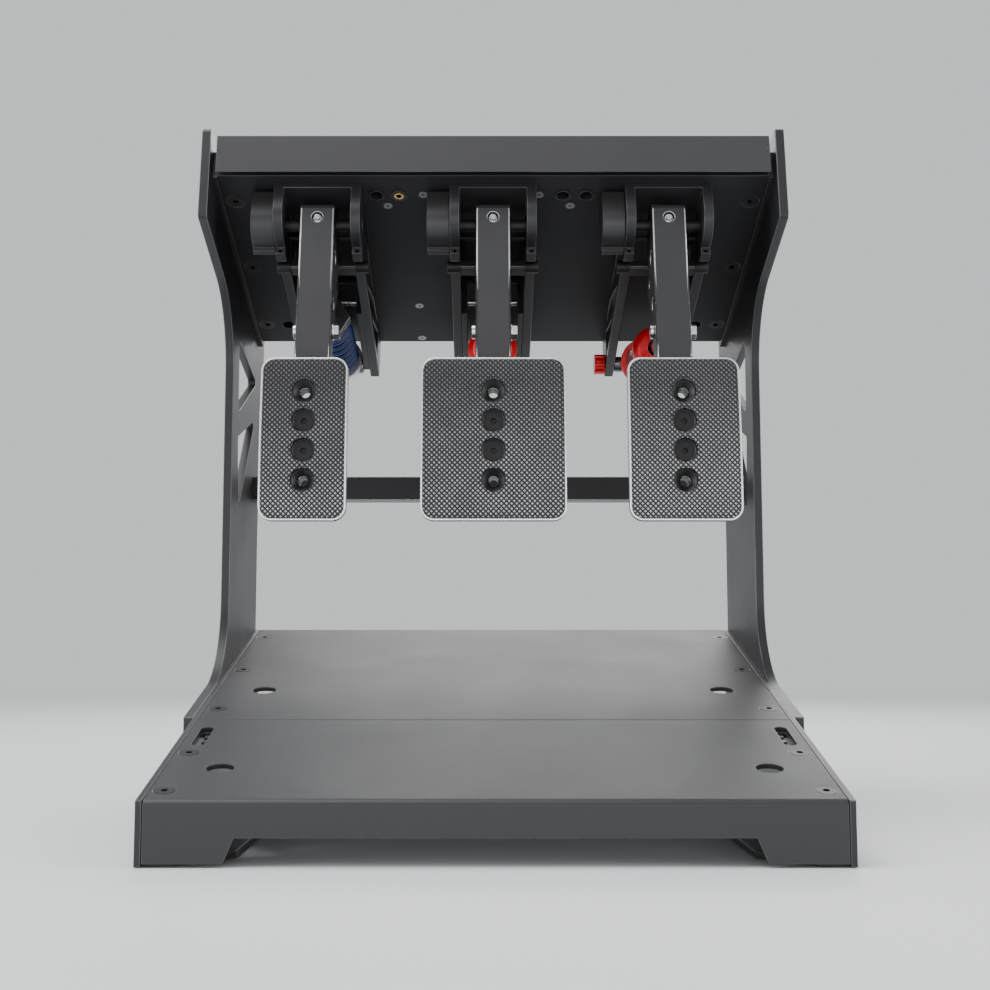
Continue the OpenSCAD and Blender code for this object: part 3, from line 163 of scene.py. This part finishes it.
oxide = surface("black_oxide", (0.011, 0.011, 0.012), 0.42, metallic=0.1, vary=0.25, vary_scale=160.0,
                grain=0.12, grain_scale=2200.0, specular=0.3)
dark_steel = surface("dark_steel", (0.045, 0.045, 0.048), 0.26, metallic=0.9, vary=0.2, vary_scale=160.0)
pale = surface("pale_anodised", (0.52, 0.52, 0.54), 0.32, metallic=0.85, vary=0.06, vary_scale=80.0,
               grain=0.08, grain_scale=3000.0)
bright = surface("bright_screws", (0.66, 0.66, 0.67), 0.22, metallic=1.0, vary=0.08, vary_scale=300.0,
                 rough_vary=0.07)
steel = surface("ground_steel", (0.46, 0.46, 0.48), 0.26, metallic=1.0, vary=0.10, vary_scale=90.0,
                brushed=(3800.0, 120.0, 120.0))
grey = surface("grey_anodised", (0.23, 0.235, 0.25), 0.34, metallic=0.85, vary=0.08, vary_scale=80.0,
               grain=0.08, grain_scale=3000.0)
red = surface("red_anodised", (0.70, 0.004, 0.012), 0.32, metallic=0.30, vary=0.08, vary_scale=110.0,
              grain=0.06, grain_scale=3000.0, coat=0.2)
# Brighter red on the bevels of the red parts: a painted edge highlight
painted_red_highlight = surface("painted_red_highlight", (0.90, 0.07, 0.07), 0.28, metallic=0.5, vary=0.08, vary_scale=200.0)
navy = surface("navy_coat", (0.010, 0.030, 0.140), 0.30, metallic=0.1, vary=0.16, vary_scale=120.0,
               grain=0.05, grain_scale=1800.0, coat=0.2, specular=0.4)
rubber = surface("black_rubber", (0.014, 0.014, 0.014), 0.72, vary=0.2, vary_scale=120.0, grain=0.3,
                 grain_scale=1100.0)
plastic = surface("black_plastic", (0.014, 0.014, 0.015), 0.44, vary=0.12, vary_scale=70.0, grain=0.25,
                  grain_scale=1900.0)
gold = surface("gold_plating", (0.80, 0.55, 0.20), 0.20, metallic=1.0, vary=0.06, vary_scale=300.0)
pcb = surface("circuit_board", (0.012, 0.10, 0.045), 0.36, vary=0.18, vary_scale=140.0, coat=0.4)


def paint_inner_shade(m):
    """Painted shade on a coil's inner side, where its "outward" attribute is low."""
    painted_shade, shade_below, unshaded_above = (0.002, 0.002, 0.003, 1.0), 0.35, 0.70
    t = m.node_tree
    color = t.nodes["Principled BSDF"].inputs["Base Color"]
    base = color.links[0].from_socket
    outward = add_node(t, "ShaderNodeAttribute", attribute_name="outward").outputs["Fac"]
    link(t, mix_colors(t, spread(t, outward, shade_below, unshaded_above), painted_shade, base), color)


# The navy clutch coil gets painted shade on its inner side
paint_inner_shade(navy)


# Pieces
def as_piece(name, mesh, mats, body, node=None):
    """A visible piece on a body, in place of a CAD node if one is named."""
    o = bpy.data.objects.new(name, mesh)
    bpy.context.scene.collection.objects.link(o)
    mesh.materials.clear()
    for m in mats:
        mesh.materials.append(m)
    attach(o, body)
    if node:
        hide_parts(node)
    return o


def baked(me, kind, **settings):
    """The mesh with one modifier applied."""
    o = bpy.data.objects.new("tmp", me)
    bpy.context.scene.collection.objects.link(o)
    mod = o.modifiers.new(kind.lower(), kind)
    for name, value in settings.items():
        setattr(mod, name, value)
    dg = bpy.context.evaluated_depsgraph_get()
    out = bpy.data.meshes.new_from_object(o.evaluated_get(dg), preserve_all_data_layers=True, depsgraph=dg)
    bpy.data.objects.remove(o)
    return out


def sharpen(me, degrees):
    """Smooth faces, with the edges over an angle kept sharp."""
    bm = bmesh.new()
    bm.from_mesh(me)
    limit = math.radians(degrees)
    for f in bm.faces:
        f.smooth = True
    for e in bm.edges:
        e.smooth = not (len(e.link_faces) != 2 or e.calc_face_angle(0.0) > limit)
    bm.to_mesh(me)
    bm.free()


def bevelled(node, mat, edge, width, segments, angle=32.0, cut_up=False):
    """The node's own shape with its sharp edges broken by a small chamfer or round."""
    weld, flat = 2e-6, math.radians(0.6)
    sharp_over = 50.0 if segments < 2 else 32.0
    me = nodes[node].data.copy()
    bm = bmesh.new()
    bm.from_mesh(me)
    bmesh.ops.remove_doubles(bm, verts=bm.verts, dist=weld)
    bmesh.ops.dissolve_limit(bm, angle_limit=flat, verts=bm.verts, edges=bm.edges, delimit={"NORMAL"})
    if cut_up:
        bmesh.ops.triangulate(bm, faces=bm.faces)
    bm.to_mesh(me)
    bm.free()
    me.materials.clear()
    me.materials.append(mat)
    me.materials.append(edge)
    for poly in me.polygons:
        poly.material_index = 0
    out = baked(me, "BEVEL", width=width, segments=segments, limit_method="ANGLE",
                angle_limit=math.radians(angle), use_clamp_overlap=False, harden_normals=False,
                material=1, miter_outer="MITER_ARC" if segments > 2 else "MITER_SHARP")
    sharpen(out, sharp_over)
    out = baked(out, "WEIGHTED_NORMAL", mode="FACE_AREA", weight=90, thresh=0.02, keep_sharp=True)
    out.name = "v_" + node
    piece = bpy.data.objects.new("v_" + node, out)
    bpy.context.scene.collection.objects.link(piece)
    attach(piece, body_of[node])
    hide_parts(node)
    return piece


# Finish, edge finish, bevel width and bevel segments of each node
plan = {
    "side_plate_left": (anodised, plate_edge, 0.0005, 2),
    "side_plate_right": (anodised, plate_edge, 0.0005, 2),
    "base_rail_left": (anodised, soft_edge, 0.0005, 2),
    "base_rail_right": (anodised, soft_edge, 0.0005, 2),
    "heel_plate_front": (texture_coat, soft_edge, 0.0004, 2),
    "heel_plate_rear": (texture_coat, soft_edge, 0.0004, 2),
    "mounting_plate": (coat, soft_edge, 0.0004, 2),
    "mount_brackets": (anodised, soft_edge, 0.0004, 2),
    "top_cover": (band_coat, soft_edge, 0.0004, 2),
    "rear_crossbar": (anodised, highlit_chamfer, 0.0005, 1),
    "frame_screws": (oxide, oxide, 0.00015, 1),
    "cover_screws": (grey, grey, 0.0001, 1),
    "haptic_sockets": (plastic, plastic, 0.0003, 2),
    "audio_jack": (gold, gold, 0.0002, 2),
    "control_board": (pcb, pcb, 0.0001, 1),
    "usb_socket": (bright, bright, 0.0003, 2),
    "module_bolts": (oxide, soft_edge, 0.0003, 1),
    "sensor_boards": (pcb, pcb, 0.0001, 1),
    "stop_bars": (anodised, plate_edge, 0.0003, 1),
    "carriers": (anodised, soft_edge, 0.0004, 1),
    "cross_rods": (steel, steel, 0.0002, 1),
    "rear_pins": (oxide, oxide, 0.0004, 2),
    "clutch_rod": (steel, bright, 0.0004, 2),
    "clutch_nut": (anodised, highlit_chamfer, 0.0004, 1),
    "clutch_tube": (pale, bright, 0.0004, 1),
    "brake_rod": (steel, bright, 0.0005, 2),
    "brake_body": (anodised, soft_edge, 0.0005, 1),
    "brake_collar": (red, painted_red_highlight, 0.0004, 1),
    "throttle_rod": (steel, bright, 0.0004, 2),
    "throttle_collar": (red, painted_red_highlight, 0.0004, 1),
    "throttle_knob": (red, painted_red_highlight, 0.0004, 1),
    "throttle_ring": (red, painted_red_highlight, 0.0004, 1),
}
for m in pedals:
    plan["pivot_box_" + m] = (anodised, soft_edge, 0.0005, 2)
    plan["sensor_cover_" + m] = (plastic, plastic, 0.0007, 3)
    plan["side_rails_" + m] = (anodised, soft_edge, 0.0005, 1)
    plan["pivot_shaft_" + m] = (oxide, dark_steel, 0.0004, 2)
    plan["arm_" + m] = (arm_coat, highlit_chamfer, 0.00045, 1)
    plan["arm_bolts_" + m] = (bright, bright, 0.0003, 2)
    plan["face_screws_" + m] = (oxide, oxide, 0.0002, 1)
plan["throttle_body"] = (grey, bright, 0.0004, 1)
made = {node: bevelled(node, *finish) for node, finish in plan.items()}


# Dampers: the place of each one's rear pin, and its direction from there, against the stroke
rear_pin = {m: (Vector(joint[m + "_swing"]["pos_m"]), -Vector(joint[m + "_stroke"]["axis"]).normalized())
            for m in pedals}


def unit_matrix(m):
    """Frame of a damper: origin at its rear pin, +Z towards the link bolt, +X as the part's."""
    place, axis = rear_pin[m]
    x = Vector((1.0, 0.0, 0.0))
    rot = Matrix((x, axis.cross(x), axis)).transposed().to_4x4()
    return Matrix.Translation(place) @ rot


def unit_box(node, m):
    """Lowest and highest place of a CAD node along its damper's axis, and its greatest radius."""
    inv = unit_matrix(m).inverted()
    points = [inv @ v.co for v in nodes[node].data.vertices]
    heights = [q.z for q in points]
    return min(heights), max(heights), max(q.xy.length for q in points)


def sweep(path, radius, sides):
    """Round tube along a list of points, closed at both ends."""
    verts, faces = [], []
    n = len(path)
    side = None
    for i, p in enumerate(path):
        tan = (path[min(n - 1, i + 1)] - path[max(0, i - 1)]).normalized()
        side = tan.orthogonal() if side is None else side - tan * side.dot(tan)
        side = side.normalized()
        up = tan.cross(side)
        for k in range(sides):
            w = 2 * math.pi * k / sides
            verts.append(tuple(p + radius * (math.cos(w) * side + math.sin(w) * up)))
    for i in range(n - 1):
        a, b = i * sides, (i + 1) * sides
        for k in range(sides):
            k2 = (k + 1) % sides
            faces.append((a + k, a + k2, b + k2, b + k))
    faces.append(tuple(range(sides - 1, -1, -1)))
    faces.append(tuple((n - 1) * sides + k for k in range(sides)))
    me = bpy.data.meshes.new("tube")
    me.from_pydata(verts, [], faces)
    for poly in me.polygons:
        poly.use_smooth = len(poly.vertices) < 5
    me.update()
    return me


def helix(radius, wire, z0, z1, turns, flat_turns=0.9, steps=28):
    """Centre line of a compression spring between two seats, with closed ends."""
    closed_pitch = 0.98 * wire
    path = []
    a, b = z0 + wire / 2, z1 - wire / 2
    dead = flat_turns * closed_pitch
    active = (b - a) - 2 * dead
    for i in range(int(turns * steps) + 1):
        turn = i / steps
        if turn < flat_turns:
            z = a + dead * turn / flat_turns
        elif turn > turns - flat_turns:
            z = b - dead * (turns - turn) / flat_turns
        else:
            z = a + dead + active * (turn - flat_turns) / (turns - 2 * flat_turns)
        w = 2 * math.pi * turn
        path.append(Vector((radius * math.cos(w), radius * math.sin(w), z)))
    return path


def out_facing(me):
    """Turns every face of a closed mesh outwards."""
    bm = bmesh.new()
    bm.from_mesh(me)
    bmesh.ops.recalc_face_normals(bm, faces=bm.faces)
    bm.to_mesh(me)
    bm.free()


def revolve(profile, seg=64):
    """Solid of revolution about Z from (r, z) points, r > 0; the profile is closed."""
    k = len(profile)
    verts, faces = [], []
    for i in range(seg):
        w = 2 * math.pi * i / seg
        verts += [(r * math.cos(w), r * math.sin(w), z) for r, z in profile]
        j = (i + 1) % seg
        for a in range(k):
            b = (a + 1) % k
            faces.append((i * k + a, j * k + a, j * k + b, i * k + b))
    me = bpy.data.meshes.new("turned")
    me.from_pydata(verts, [], faces)
    out_facing(me)
    for poly in me.polygons:
        poly.use_smooth = True
    return me


def mark_outward(me, r_in, r_out):
    """Stores on each point of a coil how far out it lies, from 0 at its bore to 1 at its rim."""
    outward = me.attributes.new("outward", "FLOAT", "POINT")
    for v, value in zip(me.vertices, outward.data):
        value.value = min(1.0, max(0.0, (v.co.xy.length - r_in) / (r_out - r_in)))


def add_soft(node, m, me, mat):
    """A spring or pad between two seats, set in its damper's frame on the node's body in place of the node."""
    me.transform(unit_matrix(m))
    me.update()
    o = as_piece("v_" + node, me, [mat], body_of[node], node)
    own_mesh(o)


def add_spring(m, wire, turns, sides, shy, mat):
    """Coil of a damper from seat to seat; shy is what keeps it off the bore around it."""
    node = m + "_spring"
    z0, z1, r1 = unit_box(node, m)
    coil = sweep(helix(r1 - wire / 2 - shy, wire, z0, z1, turns), wire / 2, sides)
    mark_outward(coil, r1 - wire, r1)
    add_soft(node, m, coil, mat)


add_spring("clutch", wire=0.0037, turns=8.0, sides=14, shy=0.0, mat=navy)
add_spring("throttle", wire=0.0018, turns=7.5, sides=10, shy=0.0002, mat=steel)

# The clutch rod's pin is dark, unlike the bolt in the arm's other hole
pin_along, pin_reach = 0.1449, 0.006
pin = made["arm_bolts_clutch"].data
pin.materials.append(oxide)
to_unit = unit_matrix("clutch").inverted()
for poly in pin.polygons:
    q = to_unit @ poly.center
    if math.hypot(q.y, q.z - pin_along) < pin_reach:
        poly.material_index = len(pin.materials) - 1

# Brake elastomer stack: barrelled pads with thin washers between
pads, pad_rings, pad_bore, bore_start = 3, 9, 0.0054, 0.0001
pad_waist, pad_bulge, washer_in = 0.0022, 0.0021, 0.0030
pad_start, pad_gap, washer_from, washer_to = 0.0003, 0.0013, 0.0008, 0.0002
z0, z1, r1 = unit_box("brake_elastomer", "brake")
pitch = (z1 - z0) / pads
profile = []
for k in range(pads):
    a = z0 + k * pitch
    for f in range(pad_rings):
        share = f / (pad_rings - 1)
        bulge = pad_bulge * math.sin(math.pi * share) ** 0.5
        profile.append((r1 - pad_waist + bulge, a + pad_start + share * (pitch - pad_gap)))
    if k < pads - 1:
        profile.append((r1 - washer_in, a + pitch - washer_from))
        profile.append((r1 - washer_in, a + pitch - washer_to))
profile.append((pad_bore, z1))
profile.append((pad_bore, z0 + bore_start))
add_soft("brake_elastomer", "brake", revolve(profile), rubber)


# Knurled faces
face_lean = math.radians(3.8)
face_h, face_t, face_r, face_hole_r = 0.103, 0.005, 0.0086, 0.0074
hole_pitch, hole_rise, hole_count = 0.0187, 0.0016, 4
rim_w, rim_fade = 0.0013, 0.0003
knurl_pitch, knurl_height = 0.00224, 0.00040
hole_z = [((hole_count - 1) / 2 - k) * hole_pitch + hole_rise for k in range(hole_count)]


def face_material(name, origin, half_w, half_h, radius, holes, hole_r, pitch, relief):
    """Black knurl inside a polished rim, worked out from the place in the face's own plane."""
    front_depth, tips_from, tips_to = 0.0011, 0.25, 0.95
    highlight_top, highlight_foot, highlight_least, cloud_lift = 0.035, -0.040, 0.18, 0.4
    groove_color, tip_color = (0.018, 0.018, 0.019, 1.0), (0.58, 0.58, 0.60, 1.0)
    rim_color, knurl_metallic = (0.74, 0.74, 0.75, 1.0), 0.55
    smooth, dull = 0.30, 0.44
    m, t, p = new_material(name)
    place = add_node(t, "ShaderNodeTexCoord").outputs["Object"]
    plane = add_node(t, "ShaderNodeMapping", {"Vector": place, "Location": tuple(origin),
                                              "Rotation": (-face_lean, 0.0, 0.0)}, vector_type="TEXTURE")
    parts = add_node(t, "ShaderNodeSeparateXYZ", {"Vector": plane.outputs["Vector"]}).outputs
    x, z, depth = parts["X"], parts["Z"], parts["Y"]

    def calc(op, *values):
        return add_node(t, "ShaderNodeMath", dict(enumerate(values)), operation=op).outputs["Value"]

    def length(a, b):
        return calc("SQRT", calc("ADD", calc("MULTIPLY", a, a), calc("MULTIPLY", b, b)))

    # Height of the knurl's pyramids, from 0 in the grooves to 1 at the tips
    cells = 1.0 / (pitch * math.sqrt(2))
    rising = calc("PINGPONG", calc("MULTIPLY", calc("ADD", x, z), cells), 0.5)
    falling = calc("PINGPONG", calc("MULTIPLY", calc("SUBTRACT", x, z), cells), 0.5)
    pyramid = calc("MULTIPLY", calc("MINIMUM", rising, falling), 2.0)

    # Masks of the rim, the knurl and the plain land round the holes
    ax = calc("SUBTRACT", calc("ABSOLUTE", x), half_w - radius)
    az = calc("SUBTRACT", calc("ABSOLUTE", z), half_h - radius)
    corner = length(calc("MAXIMUM", ax, 0.0), calc("MAXIMUM", az, 0.0))
    straight = calc("MINIMUM", calc("MAXIMUM", ax, az), 0.0)
    inset = calc("SUBTRACT", calc("ADD", corner, straight), radius)
    in_rim = spread(t, inset, -rim_w, rim_fade - rim_w)
    land = 0.0
    for hz in holes:
        near = calc("LESS_THAN", length(x, calc("SUBTRACT", z, hz)), hole_r)
        land = calc("MAXIMUM", land, near)
    front = calc("MULTIPLY", calc("LESS_THAN", depth, front_depth), calc("SUBTRACT", 1.0, land))
    knurl = calc("MULTIPLY", front, calc("SUBTRACT", 1.0, in_rim))
    bare = calc("MULTIPLY", front, in_rim)

    # Dark grooves, tips worn bare and brightened towards the lower edge by a painted highlight, and the bright rim
    cloud = noise(t, place, scale=60.0, detail=6.0)
    tips = calc("MULTIPLY", spread(t, pyramid, tips_from, tips_to), knurl)
    # Painted highlight: the tips grow brighter from the top edge down to the lower edge
    tip_highlight = calc("MULTIPLY", spread(t, z, highlight_top, highlight_foot, highlight_least), calc("ADD", cloud, cloud_lift))
    shade = mix_colors(t, calc("MULTIPLY", tips, tip_highlight), groove_color, tip_color)
    link(t, mix_colors(t, bare, shade, rim_color), p.inputs["Base Color"])
    link(t, calc("MAXIMUM", bare, knurl_metallic), p.inputs["Metallic"])
    link(t, spread(t, cloud, 0.0, 1.0, smooth, dull), p.inputs["Roughness"])
    height = calc("MULTIPLY", pyramid, knurl)
    link(t, bump(t, height, strength=1.0, depth=relief), p.inputs["Normal"])
    return m


def knurl_mesh(face, origin, up, back, half_w, half_h, radius, holes, hole_r, pitch, height):
    """Small closed pyramids on the face's front, one in each cell that lies whole inside the rim."""
    sink, ahead = 0.00008, 0.02
    tree = BVHTree.FromPolygons([v.co for v in face.vertices], [f.vertices for f in face.polygons])

    def clear(x, z):
        ax, az = abs(x) - half_w + radius, abs(z) - half_h + radius
        inset = math.hypot(max(ax, 0.0), max(az, 0.0)) + min(max(ax, az), 0.0) - radius
        return inset < -rim_w and all(math.hypot(x, z - hz) > hole_r for hz in holes)

    def on_front(x, z, out):
        start = origin + Vector((x, 0, 0)) + up * z - back * ahead
        hit = tree.ray_cast(start, back)[0]
        return None if hit is None else hit - back * out

    cell = pitch * math.sqrt(2)
    reach = int((half_w + half_h) / cell) + 1
    verts, faces = [], []
    for i in range(-reach, reach):
        for j in range(-reach, reach):
            base = [((a + b) * cell / 2, (a - b) * cell / 2)
                    for a, b in ((i, j), (i + 1, j), (i + 1, j + 1), (i, j + 1))]
            if not all(clear(x, z) for x, z in base):
                continue
            tip = on_front((i + j + 1) * cell / 2, (i - j) * cell / 2, height)
            points = [on_front(x, z, -sink) for x, z in base] + [tip]
            if None in points:
                continue
            k = len(verts)
            verts += [tuple(q) for q in points]
            faces += [(k + 3, k + 2, k + 1, k)] + [(k + n, k + (n + 1) % 4, k + 4) for n in range(4)]
    me = bpy.data.meshes.new("knurl")
    me.from_pydata(verts, [], faces)
    out_facing(me)
    return me


# The middle of each face's front chord plane is worked out from the face's own corners
face_up = Vector((0, math.sin(face_lean), math.cos(face_lean)))
face_back = Vector((0, math.cos(face_lean), -math.sin(face_lean)))
for m in pedals:
    node = "face_" + m
    lo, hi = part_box(node)
    ups = [v.co.dot(face_up) for v in nodes[node].data.vertices]
    backs = [v.co.dot(face_back) for v in nodes[node].data.vertices]
    c = (Vector(((lo.x + hi.x) / 2, 0, 0)) + face_up * ((min(ups) + max(ups)) / 2)
         + face_back * (max(backs) - face_t))
    shape = ((hi.x - lo.x) / 2, face_h / 2, face_r, hole_z, face_hole_r, knurl_pitch)
    mat = face_material("knurled_" + m, c, *shape, relief=0.0010)
    made[node] = bevelled(node, mat, mat, width=0.0005, segments=2, angle=30.0, cut_up=True)
    cut = face_material("knurl_tops_" + m, c, *shape, relief=0.0002)
    tops = knurl_mesh(made[node].data, c, face_up, face_back, *shape, knurl_height)
    as_piece("v_knurl_" + m, tops, [cut], body_of[node])


# Stage, light and camera
pale_air = (0.74, 0.755, 0.77, 1.0)
floor_color = (0.70, 0.71, 0.72, 1.0)
floor_reach, floor_drop, fade_from, fade_to = 14.0, 0.0004, 0.9, 2.6


def floor_material():
    """Pale floor that fades out into the background with the distance."""
    m, t, p = new_material("pale_floor")
    place = add_node(t, "ShaderNodeTexCoord").outputs["Object"]
    away = add_node(t, "ShaderNodeVectorMath", {0: place}, operation="LENGTH").outputs["Value"]
    fade = add_node(t, "ShaderNodeMapRange", {"Value": away, "From Min": fade_from, "From Max": fade_to},
                    interpolation_type="SMOOTHSTEP").outputs["Result"]
    p.inputs["Base Color"].default_value = floor_color
    p.inputs["Roughness"].default_value = 0.6
    clear = add_node(t, "ShaderNodeBsdfTransparent").outputs["BSDF"]
    mix = add_node(t, "ShaderNodeMixShader", {"Fac": fade, 1: p.outputs["BSDF"], 2: clear})
    link(t, mix.outputs["Shader"], t.nodes["Material Output"].inputs["Surface"])
    return m


me = bpy.data.meshes.new("floor")
corners = [(x * floor_reach, y * floor_reach, 0) for x, y in ((-1, -1), (1, -1), (1, 1), (-1, 1))]
me.from_pydata(corners, [], [(0, 1, 2, 3)])
me.materials.append(floor_material())
floor = bpy.data.objects.new("floor", me)
bpy.context.scene.collection.objects.link(floor)
floor.location.z = -floor_drop

world = bpy.data.worlds.new("pale")
world.use_nodes = True
world.node_tree.nodes["Background"].inputs["Color"].default_value = pale_air
world.node_tree.nodes["Background"].inputs["Strength"].default_value = 1.0
bpy.context.scene.world = world

# Name, place, aim, width and height, and power of each soft light
lights = (
    ("top_key", (-0.5, -0.3, 1.7), (0, 0, 0.2), (1.4, 1.0), 26),
    ("left_strip", (-1.5, -0.7, 0.7), (0, 0, 0.2), (0.5, 1.5), 16),
    ("right_strip", (1.5, -0.6, 0.6), (0, 0, 0.2), (0.5, 1.5), 14),
    ("rear_rim", (0.3, 1.5, 1.0), (0, 0, 0.25), (1.4, 0.6), 14),
    ("low_front", (0.0, -1.6, 0.25), (0, 0.1, 0.28), (1.6, 0.4), 7),
)
for name, place, aim, size, power in lights:
    light = bpy.data.lights.new(name, "AREA")
    light.shape = "RECTANGLE"
    light.size, light.size_y = size
    light.energy = power
    o = bpy.data.objects.new(name, light)
    o.location = place
    o.rotation_euler = (Vector(aim) - Vector(place)).to_track_quat("-Z", "Y").to_euler()
    o.visible_camera = False
    bpy.context.scene.collection.objects.link(o)

# The photo's camera, fitted to the base, the faces and the top band
camera_x, camera_ahead, camera_z = -0.0057, 0.7055, 0.1138
camera_tilt = math.radians(96.0)
front_y = -0.190005
cam_data = bpy.data.cameras.new("camera")
cam_data.lens = 50.0
cam_data.sensor_width = 36.0
cam_data.clip_start = 0.02
cam_data.shift_x = 0.0108
cam = bpy.data.objects.new("camera", cam_data)
cam.location = (camera_x, front_y - camera_ahead, camera_z)
cam.rotation_euler = (camera_tilt, 0, 0)
bpy.context.scene.collection.objects.link(cam)
bpy.context.scene.camera = cam
